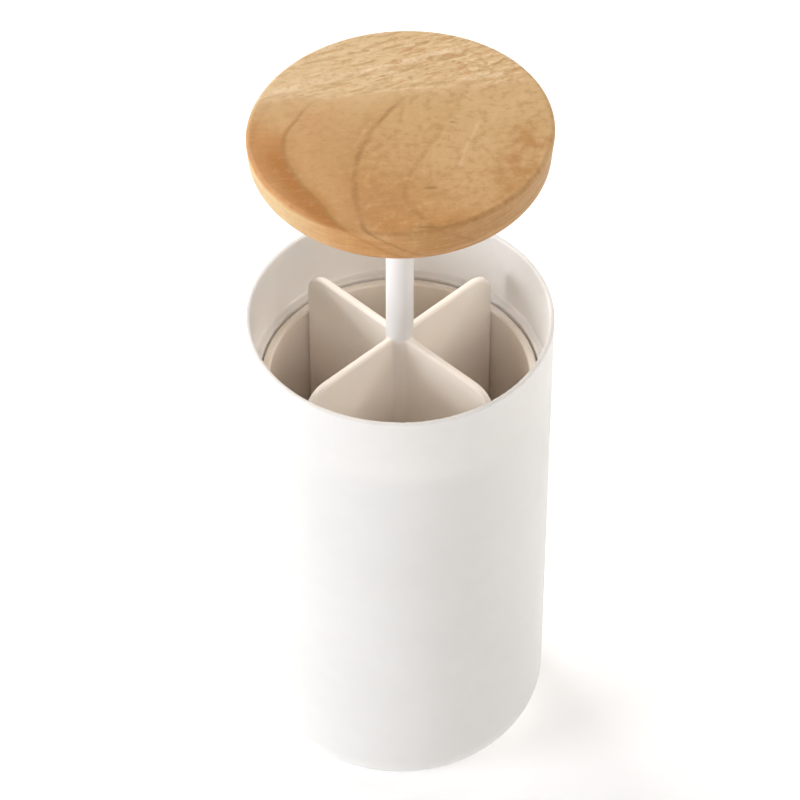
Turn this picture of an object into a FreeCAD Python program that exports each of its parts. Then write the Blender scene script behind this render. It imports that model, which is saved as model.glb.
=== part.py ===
"""Lift-type toothpick dispenser.

Millimetres, +Z up. The origin is the centre of the cup's base. The front of the
dispenser is -Y. The document shows the open pose: lid, rod, cross and tray are
drawn up out of the liner by the sheet's 'travel'.
"""
import os
import math
import FreeCAD, Part
import Sketcher

os.makedirs("parts", exist_ok=True)
doc = FreeCAD.newDocument("ToothpickDispenser")

# ---------------------------------------------------------------- dimensions
DIMENSIONS = [
    # cup
    ("cup_radius", 32.5),          # outside of the cup
    ("cup_height", 118.0),
    ("mouth_radius", 31.4),        # thin wall the lid drops into
    ("shoulder_depth", 16.4),      # narrow ledge, its outer edge below the rim
    ("shoulder_fall", 0.25),
    ("cup_bore", 29.75),           # bore below the shoulder
    ("cup_floor", 2.75),
    ("base_round", 11.0),          # outer rounding of the base
    ("bore_round", 8.25),          # inner rounding, same centre
    ("foot_inner", 17.0),          # shallow hollow inside the foot ring
    ("foot_hollow", 0.8),
    ("rim_round", 0.42),
    ("shoulder_round", 0.5),
    # liner
    ("liner_radius", 29.45),
    ("liner_bore", 27.6),
    ("liner_depth", 17.2),         # its rim below the cup's rim
    ("liner_base", 2.75),          # stands on the cup's floor
    ("liner_round", 8.1),
    ("liner_floor", 4.9),
    ("liner_bore_round", 6.1),
    ("liner_rim_round", 0.55),
    # lift
    ("travel", 46.5),
    ("lid_top_rise", 51.7),        # lid's top centre above the cup's rim, open
    ("lid_radius", 31.1),
    ("lid_edge", 4.8),             # height of the side, at the centre of the slant
    ("lid_taper", 0.45),           # the side draws in by this towards the bowl
    ("lid_thick", 12.0),
    ("lid_flat", 19.0),            # flat part of the underside
    ("lid_slope", 0.042),          # top rises towards +X
    ("lid_arris", 1.0),
    ("bush_radius", 3.4),
    ("bush_depth", 8.5),
    ("flange_radius", 4.6),
    ("flange_thick", 0.8),
    ("stud_radius", 2.0),
    ("stud_grip", 8.0),
    ("rod_radius", 2.9),
    ("spigot_radius", 1.6),
    ("spigot_length", 12.0),
    # cross
    ("cross_depth", 5.0),          # its top below the cup's rim, open
    ("fin_reach", 27.3),
    ("fin_thick", 1.8),
    ("fin_corner", 5.5),
    ("fin_edge", 0.7),
    ("web_round", 1.2),
    # tray
    ("tray_radius", 27.25),
    ("tray_thick", 3.6),
    ("tray_top", 60.3),            # open
    ("boss_radius", 8.0),
    ("boss_height", 5.1),
    ("groove_radius", 25.6),
    ("groove_width", 2.2),
    ("ring_major", 26.6),
    ("ring_minor", 0.95),
    ("screw_radius", 1.25),
    ("screw_length", 14.0),
    ("head_radius", 2.5),
    ("head_height", 1.7),
    ("well_radius", 3.0),          # counterbore for the screw's head
    ("well_depth", 4.2),
]
sheet = doc.addObject("Spreadsheet::Sheet", "Dims")
for row, (name, number) in enumerate(DIMENSIONS, start=1):
    sheet.set("A%d" % row, name)
    sheet.set("B%d" % row, str(number))
    sheet.setAlias("B%d" % row, name)
doc.recompute()


class Dim:
    """A length that knows both its number and its expression in the sheet."""

    def __init__(self, number, text):
        self.number = number
        self.text = text

    @staticmethod
    def of(other):
        return other if isinstance(other, Dim) else Dim(float(other), repr(float(other)))

    def __add__(self, other):
        other = Dim.of(other)
        return Dim(self.number + other.number, "(%s + %s)" % (self.text, other.text))

    def __sub__(self, other):
        other = Dim.of(other)
        return Dim(self.number - other.number, "(%s - %s)" % (self.text, other.text))

    def __mul__(self, other):
        other = Dim.of(other)
        return Dim(self.number * other.number, "(%s * %s)" % (self.text, other.text))


TABLE = dict(DIMENSIONS)


def dim(name):
    return Dim(TABLE[name], "Dims." + name)


ZERO = Dim(0.0, "0")


# ------------------------------------------------------------------- helpers
def plane(body, role):
    for feature in body.Origin.OriginFeatures:
        if feature.Role == role:
            return feature
    raise RuntimeError("no origin plane " + role)


def new_body(name):
    return doc.addObject("PartDesign::Body", name)


def sketch_on(body, name, role, offset=None):
    sk = body.newObject("Sketcher::SketchObject", name)
    sk.AttachmentSupport = [(plane(body, role), "")]
    sk.MapMode = "FlatFace"
    if offset is not None:
        sk.setExpression("AttachmentOffset.Base.z", offset.text)
        sk.AttachmentOffset = FreeCAD.Placement(
            FreeCAD.Vector(0, 0, offset.number), FreeCAD.Rotation())
    return sk


def pin_point(sk, geo, pos, x, y, tag):
    """Fix one vertex to the sketch's origin by two bound distances."""
    for value, kind, axis in ((x, "DistanceX", -2), (y, "DistanceY", -1)):
        if value.number == 0.0:
            sk.addConstraint(Sketcher.Constraint("PointOnObject", geo, pos, axis))
        else:
            k = sk.addConstraint(Sketcher.Constraint(kind, -1, 1, geo, pos, value.number))
            label = tag + ("x" if kind == "DistanceX" else "y")
            sk.renameConstraint(k, label)
            sk.setExpression("Constraints." + label, value.text)


def outline(sk, points):
    """A closed polygon whose corners are all bound to the sheet."""
    vecs = [FreeCAD.Vector(px.number, py.number, 0) for px, py in points]
    count = len(vecs)
    for i in range(count):
        sk.addGeometry(Part.LineSegment(vecs[i], vecs[(i + 1) % count]), False)
    for i in range(count):
        sk.addConstraint(Sketcher.Constraint("Coincident", i, 2, (i + 1) % count, 1))
    for i, (px, py) in enumerate(points):
        pin_point(sk, i, 1, px, py, "corner%d" % i)


def turned(body, name, points):
    """A solid of revolution about Z from a polygon in the XZ plane."""
    sk = sketch_on(body, name + "Profile", "XZ_Plane")
    outline(sk, points)
    rev = body.newObject("PartDesign::Revolution", name)
    rev.Profile = sk
    rev.ReferenceAxis = (sk, ["V_Axis"])
    rev.Angle = 360.0
    body.Tip = rev
    doc.recompute()
    return rev


def circle_sketch(body, name, radius, offset):
    sk = sketch_on(body, name, "XY_Plane", offset)
    sk.addGeometry(Part.Circle(FreeCAD.Vector(0, 0, 0), FreeCAD.Vector(0, 0, 1),
                               radius.number), False)
    sk.addConstraint(Sketcher.Constraint("Coincident", 0, 3, -1, 1))
    k = sk.addConstraint(Sketcher.Constraint("Radius", 0, radius.number))
    sk.renameConstraint(k, "radius")
    sk.setExpression("Constraints.radius", radius.text)
    return sk


def rings(shape, radius, level, tol=0.02):
    """Names of the circular edges of one radius at one height."""
    names = []
    for i, edge in enumerate(shape.Edges, start=1):
        curve = edge.Curve
        if isinstance(curve, Part.Circle):
            if abs(curve.Radius - radius) < tol and abs(curve.Center.z - level) < tol:
                names.append("Edge%d" % i)
    if not names:
        raise RuntimeError("no edge of radius %g at %g" % (radius, level))
    return names


def rounded(body, name, base, edges, radius):
    fil = body.newObject("PartDesign::Fillet", name)
    fil.Base = (base, edges)
    fil.Radius = radius.number
    fil.setExpression("Radius", radius.text)
    body.Tip = fil
    doc.recompute()
    return fil


def bevelled(body, name, base, edges, size):
    cham = body.newObject("PartDesign::Chamfer", name)
    cham.Base = (base, edges)
    cham.Size = size
    body.Tip = cham
    doc.recompute()
    return cham


# -------------------------------------------------------- levels, open pose
rim = dim("cup_height")
shoulder = rim - dim("shoulder_depth")
shoulder_foot = shoulder - dim("shoulder_fall")
lid_top = rim + dim("lid_top_rise")
lid_under = lid_top - dim("lid_thick")
cross_top = rim - dim("cross_depth")
tray_top = dim("tray_top")
tray_under = tray_top - dim("tray_thick")
boss_under = tray_under - dim("boss_height")

# ------------------------------------------------------------ outer cup
cup = new_body("outer_cup")
cup_turn = turned(cup, "CupWall", [
    (ZERO, dim("foot_hollow")),
    (dim("foot_inner"), dim("foot_hollow")),
    (dim("foot_inner"), ZERO),
    (dim("cup_radius"), ZERO),
    (dim("cup_radius"), rim),
    (dim("mouth_radius"), rim),
    (dim("mouth_radius"), shoulder),
    (dim("cup_bore"), shoulder_foot),
    (dim("cup_bore"), dim("cup_floor")),
    (ZERO, dim("cup_floor")),
])
cup_base = rounded(cup, "CupBaseRound", cup_turn,
                   rings(cup_turn.Shape, TABLE["cup_radius"], 0.0), dim("base_round"))
cup_inner = rounded(cup, "CupBoreRound", cup_base,
                    rings(cup_base.Shape, TABLE["cup_bore"], TABLE["cup_floor"]),
                    dim("bore_round"))
cup_step = rounded(cup, "CupShoulderRound", cup_inner,
                   rings(cup_inner.Shape, TABLE["mouth_radius"], shoulder.number),
                   dim("shoulder_round"))
cup_lip = rounded(cup, "CupShoulderLip", cup_step,
                  rings(cup_step.Shape, TABLE["cup_bore"], shoulder_foot.number), Dim(0.3, "0.3"))
cup_rim = rounded(cup, "CupRimRound", cup_lip,
                  rings(cup_lip.Shape, TABLE["cup_radius"], rim.number)
                  + rings(cup_lip.Shape, TABLE["mouth_radius"], rim.number),
                  dim("rim_round"))
rounded(cup, "CupFootRound", cup_rim,
        rings(cup_rim.Shape, TABLE["foot_inner"], 0.0), Dim(0.4, "0.4"))

# ------------------------------------------------------------ inner liner
liner = new_body("inner_liner")
liner_top = rim - dim("liner_depth")
liner_turn = turned(liner, "LinerWall", [
    (ZERO, dim("liner_base")),
    (dim("liner_radius"), dim("liner_base")),
    (dim("liner_radius"), liner_top),
    (dim("liner_bore"), liner_top),
    (dim("liner_bore"), dim("liner_floor")),
    (ZERO, dim("liner_floor")),
])
liner_out = rounded(liner, "LinerBaseRound", liner_turn,
                    rings(liner_turn.Shape, TABLE["liner_radius"], TABLE["liner_base"]),
                    dim("liner_round"))
liner_in = rounded(liner, "LinerBoreRound", liner_out,
                   rings(liner_out.Shape, TABLE["liner_bore"], TABLE["liner_floor"]),
                   dim("liner_bore_round"))
rounded(liner, "LinerRimRound", liner_in,
        rings(liner_in.Shape, TABLE["liner_radius"], liner_top.number)
        + rings(liner_in.Shape, TABLE["liner_bore"], liner_top.number),
        dim("liner_rim_round"))

# ------------------------------------------------------------ wooden lid
# The side and the quarter-ellipse bowl are turned about the rod's axis; the top
# is cut on a slant that rises towards +X, as the photograph shows.
lid = new_body("wooden_lid")
lid_sk = sketch_on(lid, "LidProfile", "XZ_Plane")
top_v = lid_top.number
under_v = lid_under.number
side_v = top_v - TABLE["lid_edge"]
flat_r = TABLE["lid_flat"]
rad = TABLE["lid_radius"]
stock = 4.0
side_r = rad - TABLE["lid_taper"]
stock_r = dim("lid_radius") + Dim(TABLE["lid_taper"] * stock / TABLE["lid_edge"],
                                  "Dims.lid_taper * 4 / Dims.lid_edge")
hole_r = TABLE["bush_radius"] + 0.05
hole_v = under_v + TABLE["bush_depth"] + 0.5
seat_r = TABLE["flange_radius"] + 0.1
seat_v = under_v + TABLE["flange_thick"]
corner = [
    FreeCAD.Vector(0, hole_v, 0),
    FreeCAD.Vector(hole_r, hole_v, 0),
    FreeCAD.Vector(hole_r, seat_v, 0),
    FreeCAD.Vector(seat_r, seat_v, 0),
    FreeCAD.Vector(seat_r, under_v, 0),
    FreeCAD.Vector(flat_r, under_v, 0),
]
for i in range(len(corner) - 1):
    lid_sk.addGeometry(Part.LineSegment(corner[i], corner[i + 1]), False)
bowl_curve = Part.Ellipse(FreeCAD.Vector(flat_r, side_v, 0), side_r - flat_r, side_v - under_v)
lid_sk.addGeometry(Part.ArcOfEllipse(bowl_curve, -math.pi / 2, 0.0), False)
rest = [
    FreeCAD.Vector(side_r, side_v, 0),
    FreeCAD.Vector(stock_r.number, top_v + stock, 0),
    FreeCAD.Vector(0, top_v + stock, 0),
    FreeCAD.Vector(0, hole_v, 0),
]
for i in range(len(rest) - 1):
    lid_sk.addGeometry(Part.LineSegment(rest[i], rest[i + 1]), False)
bush_top = lid_under + dim("bush_depth") + 0.5
pin_point(lid_sk, 0, 1, ZERO, bush_top, "hole")
pin_point(lid_sk, 0, 2, dim("bush_radius") + 0.05, bush_top, "wall")
pin_point(lid_sk, 1, 2, dim("bush_radius") + 0.05, lid_under + dim("flange_thick"), "seat")
pin_point(lid_sk, 2, 2, dim("flange_radius") + 0.1, lid_under + dim("flange_thick"), "step")
pin_point(lid_sk, 3, 2, dim("flange_radius") + 0.1, lid_under, "mouth")
pin_point(lid_sk, 4, 2, dim("lid_flat"), lid_under, "flat")
pin_point(lid_sk, 6, 1, dim("lid_radius") - dim("lid_taper"), lid_top - dim("lid_edge"), "side")
pin_point(lid_sk, 6, 2, stock_r, lid_top + stock, "stock")
lid_turn = lid.newObject("PartDesign::Revolution", "LidTurned")
lid_turn.Profile = lid_sk
lid_turn.ReferenceAxis = (lid_sk, ["V_Axis"])
lid_turn.Angle = 360.0
lid.Tip = lid_turn
doc.recompute()
whole = lid_turn.Shape.Volume

slant = sketch_on(lid, "LidSlant", "XZ_Plane")
reach = 40.0
fall = dim("lid_slope") * reach
outline(slant, [
    (Dim(-reach, "-40"), lid_top - fall),
    (Dim(reach, "40"), lid_top + fall),
    (Dim(reach, "40"), lid_top + 12.0),
    (Dim(-reach, "-40"), lid_top + 12.0),
])
lid_cut = lid.newObject("PartDesign::Pocket", "LidTopCut")
lid_cut.Profile = slant
lid_cut.Type = 1          # through all
lid_cut.Midplane = True
lid.Tip = lid_cut
doc.recompute()
if not lid_cut.Shape.Volume < whole - 1000.0:
    raise RuntimeError("the slanted cut took nothing off the lid")
arris = []
for i, edge in enumerate(lid_cut.Shape.Edges, start=1):
    box = edge.BoundBox
    if box.XLength > 1.9 * rad and box.ZMin > side_v + 0.5:
        arris.append("Edge%d" % i)
rounded(lid, "LidArris", lid_cut, arris, dim("lid_arris"))

# ------------------------------------------------------------ bush and stud
bush = new_body("lid_bush")
bush_turn = turned(bush, "BushTurned", [
    (dim("stud_radius") + 0.05, lid_under),
    (dim("flange_radius"), lid_under),
    (dim("flange_radius"), lid_under + dim("flange_thick")),
    (dim("bush_radius"), lid_under + dim("flange_thick")),
    (dim("bush_radius"), lid_under + dim("bush_depth")),
    (dim("stud_radius") + 0.05, lid_under + dim("bush_depth")),
])
bevelled(bush, "BushLead", bush_turn,
         rings(bush_turn.Shape, TABLE["bush_radius"], under_v + TABLE["bush_depth"]), 0.5)

stud = new_body("lid_stud")
stud_turn = turned(stud, "StudTurned", [
    (ZERO, lid_under - dim("stud_grip")),
    (dim("stud_radius"), lid_under - dim("stud_grip")),
    (dim("stud_radius"), lid_under + dim("stud_grip")),
    (ZERO, lid_under + dim("stud_grip")),
])
bevelled(stud, "StudEnds", stud_turn,
         rings(stud_turn.Shape, TABLE["stud_radius"], under_v - TABLE["stud_grip"])
         + rings(stud_turn.Shape, TABLE["stud_radius"], under_v + TABLE["stud_grip"]), 0.4)

# ------------------------------------------------------------ rod
rod = new_body("lift_rod")
socket_floor = lid_under - dim("stud_grip") - 0.5
rod_turn = turned(rod, "RodTurned", [
    (ZERO, cross_top - dim("spigot_length")),
    (dim("spigot_radius"), cross_top - dim("spigot_length")),
    (dim("spigot_radius"), cross_top),
    (dim("rod_radius"), cross_top),
    (dim("rod_radius"), lid_under),
    (dim("stud_radius") + 0.05, lid_under),
    (dim("stud_radius") + 0.05, socket_floor),
    (ZERO, socket_floor),
])
bevelled(rod, "RodSpigotLead", rod_turn,
         rings(rod_turn.Shape, TABLE["spigot_radius"],
               cross_top.number - TABLE["spigot_length"]), 0.3)

# ------------------------------------------------------------ cross divider
cross = new_body("cross_divider")
hub_sk = circle_sketch(cross, "HubCircle", dim("rod_radius"), tray_top)
hub = cross.newObject("PartDesign::Pad", "Hub")
hub.Profile = hub_sk
hub.Length = cross_top.number - tray_top.number
hub.setExpression("Length", (cross_top - tray_top).text)
cross.Tip = hub
doc.recompute()

fin_sk = sketch_on(cross, "FinPlate", "XZ_Plane")
outline(fin_sk, [
    (Dim(1.0, "1.0"), tray_top),
    (dim("fin_reach"), tray_top),
    (dim("fin_reach"), cross_top),
    (Dim(1.0, "1.0"), cross_top),
])
fin = cross.newObject("PartDesign::Pad", "Fin")
fin.Profile = fin_sk
fin.Midplane = True
fin.Length = TABLE["fin_thick"]
fin.setExpression("Length", "Dims.fin_thick")
cross.Tip = fin
doc.recompute()

fins = cross.newObject("PartDesign::PolarPattern", "Fins")
fins.Originals = [fin]
fins.Axis = (hub_sk, ["N_Axis"])
fins.Angle = 360.0
fins.Occurrences = 4
cross.Tip = fins
doc.recompute()

top_z = cross_top.number
low_z = tray_top.number
reach_r = TABLE["fin_reach"]
corners = []
webs = []
for i, edge in enumerate(fins.Shape.Edges, start=1):
    box = edge.BoundBox
    mid = box.Center
    away = math.hypot(mid.x, mid.y)
    if abs(box.ZMin - top_z) < 1e-4 and box.ZLength < 1e-4 and abs(away - reach_r) < 0.05:
        corners.append("Edge%d" % i)
cross_a = rounded(cross, "FinCorners", fins, corners, dim("fin_corner"))
for i, edge in enumerate(cross_a.Shape.Edges, start=1):
    box = edge.BoundBox
    mid = box.Center
    away = math.hypot(mid.x, mid.y)
    if box.ZLength > 40.0 and away < TABLE["rod_radius"] + 0.5:
        webs.append("Edge%d" % i)
cross_b = rounded(cross, "WebRounds", cross_a, webs, dim("web_round"))
long_edges = []
for i, edge in enumerate(cross_b.Shape.Edges, start=1):
    box = edge.BoundBox
    mid = box.Center
    away = math.hypot(mid.x, mid.y)
    if away < 6.0 or box.ZMin < low_z + 1.0:
        continue
    if box.ZLength < 1e-4 and abs(box.ZMin - top_z) < 1e-4 and edge.Length > 10.0:
        long_edges.append("Edge%d" % i)
cross_c = rounded(cross, "FinEdges", cross_b, long_edges, dim("fin_edge"))

bore_sk = circle_sketch(cross, "HubSocket", dim("spigot_radius") + 0.05, cross_top)
bore = cross.newObject("PartDesign::Pocket", "SocketCut")
bore.Profile = bore_sk
bore.Length = TABLE["spigot_length"] + 0.5
bore.setExpression("Length", "Dims.spigot_length + 0.5")
cross.Tip = bore
doc.recompute()
pilot_sk = circle_sketch(cross, "HubPilot", dim("screw_radius") + 0.05, tray_top)
pilot = cross.newObject("PartDesign::Pocket", "PilotCut")
pilot.Profile = pilot_sk
pilot.Length = 14.0
pilot.Reversed = True
cross.Tip = pilot
doc.recompute()
if not (bore.Shape.Volume < cross_c.Shape.Volume - 50 and
        pilot.Shape.Volume < bore.Shape.Volume - 40):
    raise RuntimeError("a hub hole took nothing away")
cross.Placement = FreeCAD.Placement(FreeCAD.Vector(0, 0, 0),
                                    FreeCAD.Rotation(FreeCAD.Vector(0, 0, 1), 45.0))

# ------------------------------------------------------------ tray
tray = new_body("lift_tray")
groove_mid = tray_under + dim("tray_thick") * 0.5
groove_low = groove_mid - dim("groove_width") * 0.5
groove_high = groove_mid + dim("groove_width") * 0.5
tray_turn = turned(tray, "TrayTurned", [
    (dim("screw_radius") + 0.05, tray_top),
    (dim("screw_radius") + 0.05, boss_under + dim("well_depth")),
    (dim("well_radius"), boss_under + dim("well_depth")),
    (dim("well_radius"), boss_under),
    (dim("boss_radius"), boss_under),
    (dim("boss_radius"), tray_under),
    (dim("tray_radius"), tray_under),
    (dim("tray_radius"), groove_low),
    (dim("groove_radius"), groove_low),
    (dim("groove_radius"), groove_high),
    (dim("tray_radius"), groove_high),
    (dim("tray_radius"), tray_top),
])
tray_a = rounded(tray, "BossRoot", tray_turn,
                 rings(tray_turn.Shape, TABLE["boss_radius"], tray_under.number),
                 Dim(1.5, "1.5"))
bevelled(tray, "TrayEdges", tray_a,
         rings(tray_a.Shape, TABLE["tray_radius"], tray_under.number)
         + rings(tray_a.Shape, TABLE["tray_radius"], tray_top.number)
         + rings(tray_a.Shape, TABLE["boss_radius"], boss_under.number), 0.3)

# ------------------------------------------------------------ tray screw
screw = new_body("tray_screw")
head_seat = boss_under + dim("well_depth")
screw_turn = turned(screw, "ScrewTurned", [
    (ZERO, head_seat - dim("head_height")),
    (dim("head_radius"), head_seat - dim("head_height")),
    (dim("head_radius"), head_seat),
    (dim("screw_radius"), head_seat),
    (dim("screw_radius"), head_seat + dim("screw_length")),
    (ZERO, head_seat + dim("screw_length")),
])
screw_a = rounded(screw, "ScrewHeadRound", screw_turn,
                  rings(screw_turn.Shape, TABLE["head_radius"],
                        head_seat.number - TABLE["head_height"]), Dim(0.8, "0.8"))
screw_b = bevelled(screw, "ScrewPoint", screw_a,
                   rings(screw_a.Shape, TABLE["screw_radius"],
                         head_seat.number + TABLE["screw_length"]), 0.5)
slot_sk = sketch_on(screw, "ScrewCross", "XY_Plane", head_seat - dim("head_height"))
arm, half = 1.35, 0.32
points = [(-arm, -half), (-half, -half), (-half, -arm), (half, -arm), (half, -half), (arm, -half),
          (arm, half), (half, half), (half, arm), (-half, arm), (-half, half), (-arm, half)]
for i in range(12):
    ax, ay = points[i]
    bx, by = points[(i + 1) % 12]
    slot_sk.addGeometry(Part.LineSegment(FreeCAD.Vector(ax, ay, 0), FreeCAD.Vector(bx, by, 0)), False)
slot = screw.newObject("PartDesign::Pocket", "ScrewRecess")
slot.Profile = slot_sk
slot.Length = 1.0
slot.Reversed = True
screw.Tip = slot
doc.recompute()
if not slot.Shape.Volume < screw_b.Shape.Volume - 1.0:
    raise RuntimeError("the screw's recess took nothing away")

# ------------------------------------------------------------ friction ring
ring = doc.addObject("Part::Torus", "friction_ring")
ring.Radius1 = TABLE["ring_major"]
ring.Radius2 = TABLE["ring_minor"]
ring.setExpression("Radius1", "Dims.ring_major")
ring.setExpression("Radius2", "Dims.ring_minor")
ring.Placement = FreeCAD.Placement(FreeCAD.Vector(0, 0, groove_mid.number), FreeCAD.Rotation())
ring.setExpression("Placement.Base.z", groove_mid.text)

# ------------------------------------------------------------ check and export
doc.recompute()
NODES = [cup, liner, lid, bush, stud, rod, cross, tray, screw, ring]
for obj in doc.Objects:
    for word in ("Invalid", "Error"):
        if word in obj.State:
            raise RuntimeError("%s is %s" % (obj.Name, obj.State))
for node in NODES:
    node.Label = node.Name
    shape = node.Shape
    if shape.isNull() or not shape.isValid() or len(shape.Solids) != 1:
        raise RuntimeError("bad shape: " + node.Name)
    box = shape.BoundBox
    print("%-14s vol %9.1f  x %.2f..%.2f  y %.2f..%.2f  z %.2f..%.2f" % (
        node.Label, shape.Volume, box.XMin, box.XMax, box.YMin, box.YMax, box.ZMin, box.ZMax))
for node in NODES:
    node.Shape.exportStep("parts/%s.step" % node.Label)
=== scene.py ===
import math
import bpy
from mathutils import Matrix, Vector

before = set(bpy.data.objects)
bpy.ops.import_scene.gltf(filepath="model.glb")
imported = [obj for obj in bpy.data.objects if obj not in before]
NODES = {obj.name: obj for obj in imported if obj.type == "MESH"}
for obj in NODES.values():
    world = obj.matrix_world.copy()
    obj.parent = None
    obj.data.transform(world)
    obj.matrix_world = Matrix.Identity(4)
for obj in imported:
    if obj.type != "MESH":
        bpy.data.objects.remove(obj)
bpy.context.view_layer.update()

scene = bpy.context.scene

RIM_Z = 0.118          # cup's rim
LID_Z = 0.1697         # centre of the lid's slanted top


# ------------------------------------------------------------------ camera
def make_camera():
    """The photograph's view: 43.9 degrees down onto the rim, long lens."""
    dist, elev, tip = 0.80214, 0.7665, 0.0223
    cam = bpy.data.cameras.new("view")
    cam.sensor_width = 36.0
    cam.lens = 3825.3 / 800.0 * 36.0
    cam.clip_start, cam.clip_end = 0.05, 20.0
    obj = bpy.data.objects.new("view", cam)
    obj.location = (0.00006, -dist * math.cos(elev), RIM_Z + dist * math.sin(elev))
    obj.rotation_euler = (math.pi / 2 - elev - tip, 0.0, 0.0)
    scene.collection.objects.link(obj)
    scene.camera = obj


make_camera()

scene.view_settings.view_transform = "Standard"
scene.view_settings.look = "None"
scene.view_settings.exposure = 0.035
scene.view_settings.gamma = 1.0


# ------------------------------------------------------------------ colours
def lin(c):
    return c / 12.92 if c <= 0.04045 else ((c + 0.055) / 1.055) ** 2.4


def rgb(r, g, b):
    """8-bit display colour to linear RGBA."""
    return (lin(r / 255.0), lin(g / 255.0), lin(b / 255.0), 1.0)


def wood(r, g, b):
    """A wood tone as it looks on the lid's lit top: the light's own share taken out."""
    c = rgb(r, g, b)
    return (c[0] / 1.0, c[1] / 0.985, c[2] / 0.995, 1.0)


# ------------------------------------------------------------- node helpers
class Net:
    """A small builder for procedural materials."""

    def __init__(self, name):
        self.mat = bpy.data.materials.new(name)
        self.mat.use_nodes = True
        self.tree = self.mat.node_tree
        self.tree.nodes.clear()
        self.out = self.tree.nodes.new("ShaderNodeOutputMaterial")
        self.bsdf = self.tree.nodes.new("ShaderNodeBsdfPrincipled")
        self.link(self.bsdf.outputs[0], self.out.inputs["Surface"])

    def link(self, a, b):
        self.tree.links.new(a, b)

    def put(self, value, socket):
        if isinstance(value, bpy.types.NodeSocket):
            self.link(value, socket)
        else:
            socket.default_value = value

    def set(self, name, value):
        self.put(value, self.bsdf.inputs[name])

    def math(self, op, a, b=None, c=None, clamp=False):
        n = self.tree.nodes.new("ShaderNodeMath")
        n.operation = op
        n.use_clamp = clamp
        self.put(a, n.inputs[0])
        if b is not None:
            self.put(b, n.inputs[1])
        if c is not None:
            self.put(c, n.inputs[2])
        return n.outputs[0]

    def add(self, a, b):
        return self.math("ADD", a, b)

    def sub(self, a, b):
        return self.math("SUBTRACT", a, b)

    def mul(self, a, b):
        return self.math("MULTIPLY", a, b)

    def object_mm(self):
        t = self.tree.nodes.new("ShaderNodeTexCoord")
        n = self.tree.nodes.new("ShaderNodeVectorMath")
        n.operation = "SCALE"
        self.link(t.outputs["Object"], n.inputs[0])
        n.inputs["Scale"].default_value = 1000.0
        return n.outputs[0]

    def split(self, vec):
        n = self.tree.nodes.new("ShaderNodeSeparateXYZ")
        self.link(vec, n.inputs[0])
        return n.outputs[0], n.outputs[1], n.outputs[2]

    def join(self, x, y, z):
        n = self.tree.nodes.new("ShaderNodeCombineXYZ")
        for v, s in zip((x, y, z), n.inputs):
            self.put(v, s)
        return n.outputs[0]

    def noise(self, vec, scale=1.0, detail=2.0, rough=0.5, distort=0.0, lac=2.0):
        n = self.tree.nodes.new("ShaderNodeTexNoise")
        n.noise_dimensions = "3D"
        self.link(vec, n.inputs["Vector"])
        n.inputs["Scale"].default_value = scale
        n.inputs["Detail"].default_value = detail
        n.inputs["Roughness"].default_value = rough
        n.inputs["Lacunarity"].default_value = lac
        n.inputs["Distortion"].default_value = distort
        return n.outputs[0]

    def span(self, value, lo, hi, out_lo=0.0, out_hi=1.0, smooth=True):
        n = self.tree.nodes.new("ShaderNodeMapRange")
        n.interpolation_type = "SMOOTHSTEP" if smooth else "LINEAR"
        n.clamp = True
        self.put(value, n.inputs["Value"])
        n.inputs["From Min"].default_value = lo
        n.inputs["From Max"].default_value = hi
        n.inputs["To Min"].default_value = out_lo
        n.inputs["To Max"].default_value = out_hi
        return n.outputs[0]

    def mix(self, fac, a, b, mode="MIX"):
        n = self.tree.nodes.new("ShaderNodeMix")
        n.data_type = "RGBA"
        n.blend_type = mode
        self.put(fac, n.inputs["Factor"])
        ins = [s for s in n.inputs if s.type == "RGBA"]
        self.put(a, ins[0])
        self.put(b, ins[1])
        return [s for s in n.outputs if s.type == "RGBA"][0]

    def bump(self, height, distance, strength=1.0, normal=None):
        n = self.tree.nodes.new("ShaderNodeBump")
        n.inputs["Strength"].default_value = strength
        n.inputs["Distance"].default_value = distance
        self.link(height, n.inputs["Height"])
        if normal is not None:
            self.link(normal, n.inputs["Normal"])
        return n.outputs[0]


# ------------------------------------------------------------------ plastics
def moulded(name, colour, warm, rough, grain=1.0, spec=0.45, through=0.0, wave=1.0, uneven=1.0):
    """Injection-moulded plastic: faint flow shading, fine eroded grain, uneven sheen.
    "through" lets light pass a thin wall, "wave" is the slow unevenness of the skin and
    "uneven" how much its sheen varies."""
    m = Net(name)
    p = m.object_mm()
    flow = m.noise(p, 0.035, 3.0, 0.5)
    cloud = m.noise(p, 0.22, 2.0, 0.5)
    tone = m.add(m.mul(flow, 0.7), m.mul(cloud, 0.3))
    m.set("Base Color", m.mix(m.span(tone, 0.35, 0.65), colour, warm))
    skin = m.noise(p, 3.2, 3.0, 0.62)
    vary = 0.05 * uneven
    m.set("Roughness", m.add(m.span(m.noise(p, 0.4, 3.0, 0.6), 0.3, 0.7, rough - vary, rough + vary),
                             m.mul(m.sub(skin, 0.5), 0.08 * uneven)))
    normal = m.bump(skin, 0.000012 * grain, 0.8)
    if wave > 0.0:
        normal = m.bump(m.noise(p, 0.07, 1.0, 0.4), 0.00012 * wave, 0.4, normal)
    m.set("Normal", normal)
    if through > 0.0:
        m.set("Subsurface Weight", through)
        m.set("Subsurface Radius", (1.0, 0.92, 0.86))
        m.set("Subsurface Scale", 0.0025)
    m.set("IOR", 1.49)
    m.set("Specular IOR Level", spec)
    return m.mat


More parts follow.
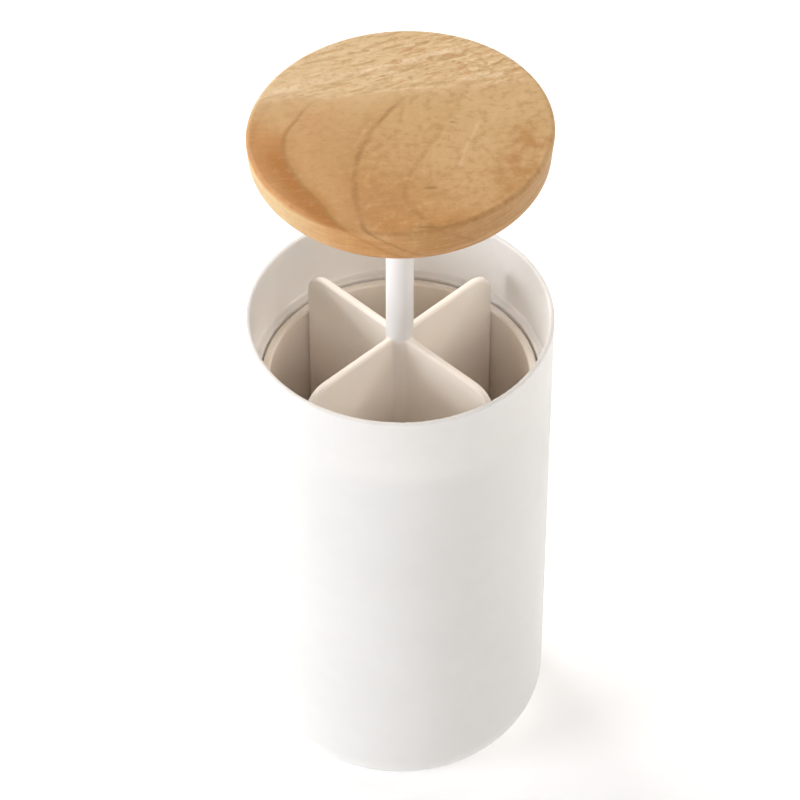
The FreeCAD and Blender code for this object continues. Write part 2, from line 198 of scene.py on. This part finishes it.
# ------------------------------------------------------------------ wood
def lid_wood():
    """Flat-sawn light hardwood, its grain almost along X. Growth rings cut the top as
    nested arcs; behind them runs a paler band with short slanting figure."""
    m = Net("lid_wood")
    p = m.object_mm()
    x, y, z = m.split(p)
    depth = m.sub(m.add(m.mul(x, 0.042), LID_Z * 1000.0), z)      # below the slanted top

    slow = m.sub(m.noise(p, 0.075, 2.0, 0.5), 0.5)
    jag = m.sub(m.noise(p, 0.42, 3.0, 0.6), 0.5)
    side = m.span(m.add(depth, m.mul(jag, 0.5)), 0.35, 1.15)
    face = m.sub(1.0, side)
    xx = m.add(m.sub(x, m.mul(depth, 1.65)), m.add(m.mul(slow, 2.4), m.mul(jag, 1.1)))

    turn = math.radians(6.5)
    u = m.add(m.mul(x, math.cos(turn)), m.mul(y, math.sin(turn)))
    v = m.add(m.mul(x, -math.sin(turn)), m.mul(y, math.cos(turn)))

    def ring(x0, y0, above, below):
        """Distance along X from one ring's line. It turns at (x0, y0); each half is given
        by its final lean and by how wide the turn is."""
        dy = m.sub(y, y0)
        out = m.sub(xx, x0)
        for half, (lean, wide) in (("MAXIMUM", above), ("MINIMUM", below)):
            part = m.math(half, dy, 0.0)
            part = m.sub(m.math("SQRT", m.add(m.mul(part, part), wide * wide)), wide)
            out = m.sub(out, m.mul(part, lean))
        return out

    def peak(value, width):
        return m.span(m.math("ABSOLUTE", value), 0.0, width, 1.0, 0.0)

    def all_of(*terms):
        out = terms[0]
        for t in terms[1:]:
            out = m.mul(out, t)
        return out

    def blot(cx, cy, rx, ry, rough=0.5, soft=0.55):
        """A soft-edged spot on the face."""
        ex = m.mul(m.sub(x, cx), 1.0 / rx)
        ey = m.mul(m.sub(y, cy), 1.0 / ry)
        far = m.math("SQRT", m.add(m.mul(ex, ex), m.mul(ey, ey)))
        far = m.add(far, m.add(m.mul(slow, rough), m.mul(jag, rough)))
        return m.mul(m.span(far, 1.0 - soft, 1.0 + soft * 0.4, 1.0, 0.0), face)

    def streak(cx, cy, half, width, degrees, waver=1.6):
        """A long soft line across the face, fading at both ends."""
        t = math.radians(degrees)
        dx, dy = m.sub(x, cx), m.sub(y, cy)
        along = m.add(m.mul(dx, math.cos(t)), m.mul(dy, math.sin(t)))
        across = m.sub(m.mul(dy, math.cos(t)), m.mul(dx, math.sin(t)))
        across = m.add(across, m.mul(jag, waver))
        return all_of(peak(across, width), m.span(m.math("ABSOLUTE", along), half * 0.7, half, 1.0, 0.0), face)

    torn = m.span(m.noise(p, 0.30, 3.0, 0.6), 0.36, 0.58)

    # ---- the board's even colour: warmer to the left and the front, paler to the right
    patch = m.noise(p, 0.10, 2.0, 0.5)
    base = m.mix(m.span(m.add(m.mul(x, 0.5), y), -30.0, 16.0, smooth=False), wood(192, 137, 78), wood(213, 177, 130))
    base = m.mix(m.span(patch, 0.35, 0.65, 0.0, 0.35), base, wood(206, 165, 115))

    # ---- growth rings
    d0 = ring(-30.3, -6.0, (1.18, 30.0), (1.20, 30.0))
    d1 = ring(-23.7, -5.0, (1.19, 15.0), (0.61, 5.0))
    d2 = ring(-9.3, -15.5, (1.44, 40.0), (0.92, 40.0))
    d3 = ring(1.6, -18.5, (0.49, 5.0), (2.60, 30.0))
    d4 = ring(11.0, -22.0, (0.65, 30.0), (1.20, 30.0))
    d5 = ring(18.5, -21.0, (0.57, 30.0), (1.20, 30.0))
    bands = m.noise(m.join(m.mul(m.add(d1, d2), 0.16), m.mul(y, 0.02), 0.0), 1.0, 3.0, 0.6)
    base = m.mix(m.span(bands, 0.38, 0.66, 0.0, 0.15), base, wood(190, 144, 95))

    inner = m.span(depth, 0.4, 2.0, 1.0, 0.0)
    heart = all_of(m.span(d1, -0.8, 0.4, 1.0, 0.0), inner, m.span(y, -3.5, 5.0, 1.0, 0.12))
    base = m.mix(m.mul(heart, 0.80), base, wood(204, 147, 94))
    brown = all_of(heart, m.span(d1, -7.0, -1.8), m.span(y, -10.0, 0.0, 1.0, 0.15))
    base = m.mix(m.mul(brown, 0.92), base, wood(178, 117, 58))
    edge = all_of(heart, m.span(x, -31.0, -26.5, 1.0, 0.0), m.span(y, -16.0, -2.0), m.span(y, 3.0, 7.0, 1.0, 0.0))
    base = m.mix(m.mul(edge, 0.60), base, wood(190, 136, 82))
    base = m.mix(m.mul(blot(-24.3, 2.6, 4.4, 3.6, 0.6, 0.9), 0.40), base, wood(219, 180, 133))
    glow = all_of(m.span(d1, 0.4, 3.6), m.span(d1, 4.0, 10.5, 1.0, 0.0), m.span(depth, 0.5, 3.0, 1.0, 0.2))
    base = m.mix(m.mul(glow, 0.75), base, wood(208, 160, 111))
    foot = m.span(y, -14.0, -4.0, 0.35, 1.0)
    lead2 = all_of(m.span(d2, -5.0, -0.8), m.span(d2, -0.4, 0.5, 1.0, 0.0), foot, m.span(y, 2.0, 9.0, 1.0, 0.0))
    base = m.mix(m.mul(lead2, 0.50), base, wood(190, 142, 90))
    lead3 = all_of(m.span(d3, -4.0, -0.8), m.span(d3, -0.4, 0.6, 1.0, 0.0))
    base = m.mix(m.mul(lead3, 0.28), base, wood(190, 142, 90))
    lead5 = all_of(m.span(d5, -0.6, 0.8), m.span(d5, 5.0, 9.0, 1.0, 0.0), m.span(y, 0.0, 8.0, 1.0, 0.0))
    base = m.mix(m.mul(lead5, 0.25), base, wood(192, 144, 92))

    base = m.mix(m.mul(peak(d0, 1.0), 0.25), base, wood(176, 126, 76))
    base = m.mix(m.mul(m.mul(peak(d1, 1.05), m.span(y, 4.0, 12.0, 1.0, 0.35)), 0.55), base, wood(160, 111, 62))
    line2 = all_of(peak(d2, 1.1), m.add(m.mul(torn, 0.7), 0.3), m.span(y, 4.0, 12.5, 1.0, 0.0))
    base = m.mix(m.mul(line2, 0.62), base, wood(152, 109, 60))
    line3 = all_of(peak(d3, 1.2), m.add(m.mul(torn, 0.8), 0.2), m.span(y, -9.0, 3.0, 1.0, 0.2))
    base = m.mix(m.mul(line3, 0.45), base, wood(162, 117, 66))
    fleck = all_of(peak(m.add(d2, 1.7), 0.6), m.span(y, -6.0, -3.0), m.span(y, 2.0, 6.0, 1.0, 0.0), torn)
    base = m.mix(m.mul(fleck, 0.45), base, wood(228, 190, 146))
    pale_line = all_of(peak(d4, 0.8), m.span(y, -14.0, -11.0), m.span(y, 0.0, 4.0, 1.0, 0.0))
    base = m.mix(m.mul(pale_line, 0.45), base, wood(229, 196, 154))

    # ---- warm spots between the rings
    base = m.mix(m.mul(blot(13.0, -9.0, 12.0, 12.0, 0.8, 0.9), 0.32), base, wood(218, 181, 136))
    rag = m.span(m.noise(m.join(m.mul(x, 0.34), m.mul(y, 0.26), 0.0), 1.0, 4.0, 0.65), 0.40, 0.60)
    amber = m.math("MAXIMUM", blot(25.4, -4.0, 4.6, 6.0, 1.4, 0.6), blot(22.4, -14.5, 4.8, 7.5, 1.4, 0.6))
    base = m.mix(m.mul(m.mul(amber, m.add(m.mul(rag, 0.8), 0.2)), 0.78), base, wood(187, 135, 80))
    base = m.mix(m.mul(blot(-3.4, -22.5, 7.0, 7.0, 0.8), 0.42), base, wood(188, 134, 84))
    base = m.mix(m.mul(blot(14.0, -18.0, 5.5, 6.0, 0.8), 0.35), base, wood(212, 168, 120))

    # ---- the paler band behind the rings; its border is clear only to the left
    shore = m.add(m.mul(x, 0.085), m.add(11.3, m.add(m.mul(slow, 3.5), m.mul(jag, 1.6))))
    past = m.sub(y, shore)
    blur = m.span(x, -14.0, 2.0)
    back = m.add(m.mul(m.span(past, -0.6, 1.2), m.sub(1.0, blur)), m.mul(m.span(past, -3.5, 4.5), blur))
    lap = all_of(m.span(past, -7.0, 0.5), m.span(x, -9.0, 1.0, 1.0, 0.0), face)
    base = m.mix(m.mul(lap, 0.42), base, wood(224, 192, 150))
    pale = m.mix(m.span(x, -26.0, 24.0, smooth=False), wood(231, 202, 160), wood(221, 189, 144))
    base = m.mix(m.mul(back, 0.80), base, pale)

    # ---- slanting figure of that band
    tilt = math.radians(18.0)
    us = m.add(m.mul(x, math.cos(tilt)), m.mul(y, math.sin(tilt)))
    vs = m.add(m.mul(x, -math.sin(tilt)), m.mul(y, math.cos(tilt)))
    rich = all_of(back, m.span(x, -30.0, 0.0, 0.65, 1.0), m.add(m.mul(face, 0.85), 0.15))

    def figure(shift):
        return m.noise(m.join(m.mul(us, 0.11), m.mul(m.add(vs, shift), 0.46), m.mul(depth, 0.6)), 1.0, 3.0, 0.58, 0.6)

    fig = figure(0.0)
    lee = m.sub(figure(0.7), fig)
    base = m.mix(m.mul(m.mul(m.span(fig, 0.49, 0.66), rich), 0.62), base, wood(232, 202, 164))
    base = m.mix(m.mul(m.mul(m.span(lee, 0.02, 0.11), rich), 0.58), base, wood(188, 146, 100))
    main = m.math("MAXIMUM", streak(-7.0, 18.2, 25.0, 1.25, 17.5), m.mul(streak(2.5, 12.2, 10.0, 0.6, 4.0, 0.9), 0.6))
    main = m.math("MAXIMUM", main, m.mul(streak(17.0, 15.5, 5.0, 1.1, 8.0), 0.8))
    main = m.mul(main, m.add(m.mul(torn, 0.6), 0.4))
    base = m.mix(m.mul(main, 0.85), base, wood(242, 214, 178))
    lee_line = m.mul(streak(-6.7, 16.6, 24.0, 0.8, 17.5), torn)
    base = m.mix(m.mul(lee_line, 0.35), base, wood(184, 142, 96))
    spot = m.noise(m.join(m.mul(us, 0.50), m.mul(vs, 1.05), m.mul(depth, 1.1)), 1.0, 2.0, 0.55)
    east = m.mul(rich, m.span(x, -16.0, 14.0, 0.55, 1.0))
    base = m.mix(m.mul(m.mul(m.span(spot, 0.57, 0.68), east), 0.55), base, wood(214, 150, 104))
    base = m.mix(m.mul(m.mul(m.span(spot, 0.32, 0.42, 1.0, 0.0), east), 0.52), base, wood(170, 132, 86))
    chip = m.noise(m.join(m.mul(us, 0.32), m.mul(vs, 0.95), m.add(m.mul(depth, 1.0), 7.0)), 1.0, 2.0, 0.5, 0.4)
    base = m.mix(m.mul(m.mul(m.span(chip, 0.54, 0.63), east), 0.56), base, wood(240, 212, 174))
    base = m.mix(m.mul(m.mul(m.span(chip, 0.35, 0.44, 1.0, 0.0), east), 0.50), base, wood(204, 150, 102))

    # ---- the side: painted highlight, paler to the left as if lit by the left lamp; painted shade, darker to the right; layered streaks round it
    rim_u = m.noise(m.join(m.mul(x, 0.10), m.mul(y, 0.10), m.mul(depth, 1.5)), 1.0, 3.0, 0.6)
    # painted highlight: the side's left half is paled as if lit by the left lamp
    left = m.mul(side, m.span(x, -24.0, -4.0, 1.0, 0.0))
    base = m.mix(m.mul(left, 0.92), base, m.mix(m.span(x, -26.0, -9.0), wood(214, 184, 138), wood(209, 158, 105)))
    # painted shade: the side's right half is darkened as if turned away from the lamps
    base = m.mix(m.mul(m.mul(side, m.span(x, -4.0, 12.0)), 0.24), base, wood(160, 115, 68))
    base = m.mix(m.mul(m.mul(side, m.span(rim_u, 0.52, 0.66)), 0.45), base, wood(174, 122, 70))
    base = m.mix(m.mul(m.mul(side, m.span(rim_u, 0.34, 0.46, 1.0, 0.0)), 0.30), base, wood(219, 180, 132))

    # ---- fibre, mottle and vessels everywhere
    fibre = m.noise(m.join(m.mul(u, 0.22), m.mul(v, 1.3), m.mul(depth, 1.3)), 1.0, 4.0, 0.65)
    hair = m.noise(m.join(m.mul(u, 0.6), m.mul(v, 5.0), m.mul(depth, 5.0)), 1.0, 3.0, 0.6)
    mottle = m.noise(p, 0.55, 3.0, 0.6)
    stir = m.add(0.18, m.mul(m.mul(m.span(d2, 0.0, 3.0), face), 0.17))
    base = m.mix(m.span(fibre, 0.30, 0.50, 0.13, 0.0), base, wood(162, 116, 70))
    base = m.mix(m.span(fibre, 0.55, 0.75, 0.0, 0.17), base, wood(226, 191, 148))
    base = m.mix(m.mul(m.span(mottle, 0.36, 0.50, 1.0, 0.0), stir), base, wood(174, 130, 78))
    base = m.mix(m.mul(m.span(mottle, 0.52, 0.70), m.mul(stir, 0.75)), base, wood(226, 188, 142))
    vess = m.noise(m.join(m.mul(u, 0.75), m.mul(v, 2.4), m.mul(depth, 2.4)), 1.0, 2.0, 0.55)
    pore = m.span(vess, 0.67, 0.74)
    base = m.mix(m.mul(pore, 0.36), base, wood(138, 98, 56))
    front = m.mul(streak(9.0, -28.3, 8.0, 1.1, 9.0, 2.0), m.add(m.mul(torn, 0.7), 0.3))
    base = m.mix(m.mul(front, 0.50), base, wood(168, 119, 66))
    dash = m.math("MAXIMUM", blot(6.0, -18.0, 1.7, 0.62, 0.25, 0.7),
                  m.math("MAXIMUM", blot(5.6, -29.4, 2.2, 0.40, 0.15, 0.5), blot(10.5, 1.5, 0.7, 0.25, 0.15, 0.5)))
    base = m.mix(m.mul(dash, 0.52), base, wood(138, 102, 56))
    base = m.mix(m.span(hair, 0.3, 0.7, 0.08, 0.0, smooth=False), base, wood(150, 104, 60))
    m.set("Base Color", base)

    rough = m.add(m.span(fibre, 0.3, 0.7, 0.50, 0.62), m.mul(pore, 0.12))
    m.set("Roughness", rough)
    relief = m.add(m.mul(m.mul(fig, rich), 0.8), m.mul(main, 0.35))
    height = m.sub(m.add(m.add(m.mul(fibre, 0.30), m.mul(hair, 0.22)), relief), m.mul(m.add(pore, dash), 0.7))
    m.set("Normal", m.bump(height, 0.00009, 0.8))
    m.set("Specular IOR Level", 0.32)
    m.set("IOR", 1.45)
    return m.mat


# ------------------------------------------------------------------ metals, rubber
def turned_metal(name, colour, dull, rough):
    m = Net(name)
    p = m.object_mm()
    x, y, z = m.split(p)
    rad = m.math("SQRT", m.add(m.mul(x, x), m.mul(y, y)))
    lathe = m.noise(m.join(m.mul(rad, 9.0), m.mul(z, 9.0), 0.0), 1.0, 2.0, 0.6)
    tarnish = m.noise(p, 0.9, 3.0, 0.6)
    m.set("Base Color", m.mix(m.span(tarnish, 0.4, 0.7), colour, dull))
    m.set("Roughness", m.span(lathe, 0.3, 0.7, rough - 0.06, rough + 0.08))
    m.set("Normal", m.bump(lathe, 0.00001, 0.6))
    m.set("Metallic", 1.0)
    return m.mat


def silicone():
    m = Net("ring_rubber")
    p = m.object_mm()
    dust = m.noise(p, 1.4, 4.0, 0.6)
    m.set("Base Color", m.mix(m.span(dust, 0.4, 0.7), rgb(226, 224, 218), rgb(205, 202, 196)))
    m.set("Roughness", m.span(dust, 0.3, 0.7, 0.42, 0.58))
    m.set("Normal", m.bump(m.noise(p, 4.0, 2.0, 0.5), 0.00001, 0.7))
    m.set("IOR", 1.41)
    return m.mat


CUP = moulded("cup_plastic", rgb(228, 227, 225), rgb(231, 230, 228), 0.34, through=0.6, wave=0.6)
LINER = moulded("liner_plastic", rgb(254, 239, 225), rgb(254, 242, 231), 0.42, through=0.55)
CROSS = moulded("divider_plastic", rgb(253, 242, 231), rgb(254, 245, 236), 0.40, through=0.3)
ROD = moulded("rod_plastic", rgb(246, 245, 244), rgb(247, 246, 245), 0.30, 0.05, 0.5, wave=0.0, uneven=0.15)
WOOD = lid_wood()
BRASS = turned_metal("bush_brass", rgb(214, 178, 106), rgb(182, 146, 82), 0.28)
STEEL = turned_metal("fixing_steel", rgb(190, 192, 194), rgb(160, 162, 165), 0.30)
SILICONE = silicone()

FINISH = {
    "outer_cup": CUP,
    "inner_liner": LINER,
    "wooden_lid": WOOD,
    "lid_bush": BRASS,
    "lid_stud": STEEL,
    "lift_rod": ROD,
    "cross_divider": CROSS,
    "lift_tray": CROSS,
    "tray_screw": STEEL,
    "friction_ring": SILICONE,
}
for name, mat in FINISH.items():
    mesh = NODES[name].data
    mesh.materials.clear()
    mesh.materials.append(mat)


# ------------------------------------------------------------------ stage
def make_floor():
    mesh = bpy.data.meshes.new("floor")
    s = 30.0
    mesh.from_pydata([(-s, -s, 0), (s, -s, 0), (s, s, 0), (-s, s, 0)], [], [(0, 1, 2, 3)])
    obj = bpy.data.objects.new("floor", mesh)
    scene.collection.objects.link(obj)
    m = Net("floor_paper")
    p = m.object_mm()
    m.set("Base Color", m.mix(m.span(m.noise(p, 0.004, 2.0, 0.5), 0.3, 0.7),
                              (0.93, 0.93, 0.93, 1.0), (0.95, 0.95, 0.95, 1.0)))
    m.set("Roughness", 0.9)
    m.set("Specular IOR Level", 0.1)
    m.set("Emission Color", (1.0, 1.0, 1.0, 1.0))
    fx, fy, fz = m.split(p)
    away = m.math("SQRT", m.add(m.mul(fx, fx), m.mul(fy, fy)))
    near = m.span(away, 120.0, 420.0, 0.08, 0.0)                          # painted light: the floor glows a little more round the foot, washing out the cup's shadow there
    m.set("Emission Strength", m.add(near, m.span(away, 500.0, 1500.0, 0.19, 0.85)))   # pale to the horizon
    mesh.materials.append(m.mat)


make_floor()


def softbox(name, place, aim, size, power, colour=(1.0, 1.0, 1.0), size_y=None):
    light = bpy.data.lights.new(name, "AREA")
    light.shape = "RECTANGLE"
    light.size = size
    light.size_y = size_y or size
    light.energy = power
    light.color = colour
    obj = bpy.data.objects.new(name, light)
    obj.location = place
    obj.rotation_euler = (Vector(aim) - Vector(place)).to_track_quat("-Z", "Y").to_euler()
    scene.collection.objects.link(obj)
    return obj


def horizon(level, z0, z1):
    """A pale studio wall: white near the horizon, black above, where the softboxes hang."""
    world = bpy.data.worlds.new("studio")
    world.use_nodes = True
    tree = world.node_tree
    back = tree.nodes["Background"]
    back.inputs[0].default_value = (1.0, 1.0, 1.0, 1.0)
    coord = tree.nodes.new("ShaderNodeTexCoord")
    split = tree.nodes.new("ShaderNodeSeparateXYZ")
    tree.links.new(coord.outputs["Generated"], split.inputs[0])
    fall = tree.nodes.new("ShaderNodeMapRange")
    fall.interpolation_type = "SMOOTHSTEP"
    tree.links.new(split.outputs[2], fall.inputs["Value"])
    fall.inputs["From Min"].default_value = z0
    fall.inputs["From Max"].default_value = z1
    fall.inputs["To Min"].default_value = level
    fall.inputs["To Max"].default_value = 0.03
    tree.links.new(fall.outputs[0], back.inputs[1])
    scene.world = world


def hang(name, azimuth, elevation, power, colour=(1.0, 1.0, 1.0), size=0.7, dist=1.25):
    """A softbox on a 1.25 m sphere round the object; azimuth 0 is the front, 90 the right."""
    a, e = math.radians(azimuth), math.radians(elevation)
    aim = Vector((0.0, 0.0, 0.1))
    place = aim + dist * Vector((math.sin(a) * math.cos(e), -math.cos(a) * math.cos(e), math.sin(e)))
    return softbox(name, place, aim, size, power, colour)


horizon(0.65, 0.06, 0.16)
warm = (1.0, 0.98, 0.955)
hang("key_left", -66, 16, 8.3, (0.975, 0.985, 1.02), size=0.5)
hang("side_left", -110, 16, 2.0)
hang("front", 0, 40, 2.0, (1.0, 0.99, 0.98))
hang("front_right", 45, 40, 1.6, (1.0, 0.935, 0.87), size=0.45)
hang("right", 90, 40, 3.5, (1.0, 0.925, 0.845), size=0.45)
hang("back_right", 135, 40, 3.3, warm)
hang("back_left", -135, 40, 10.2, warm)
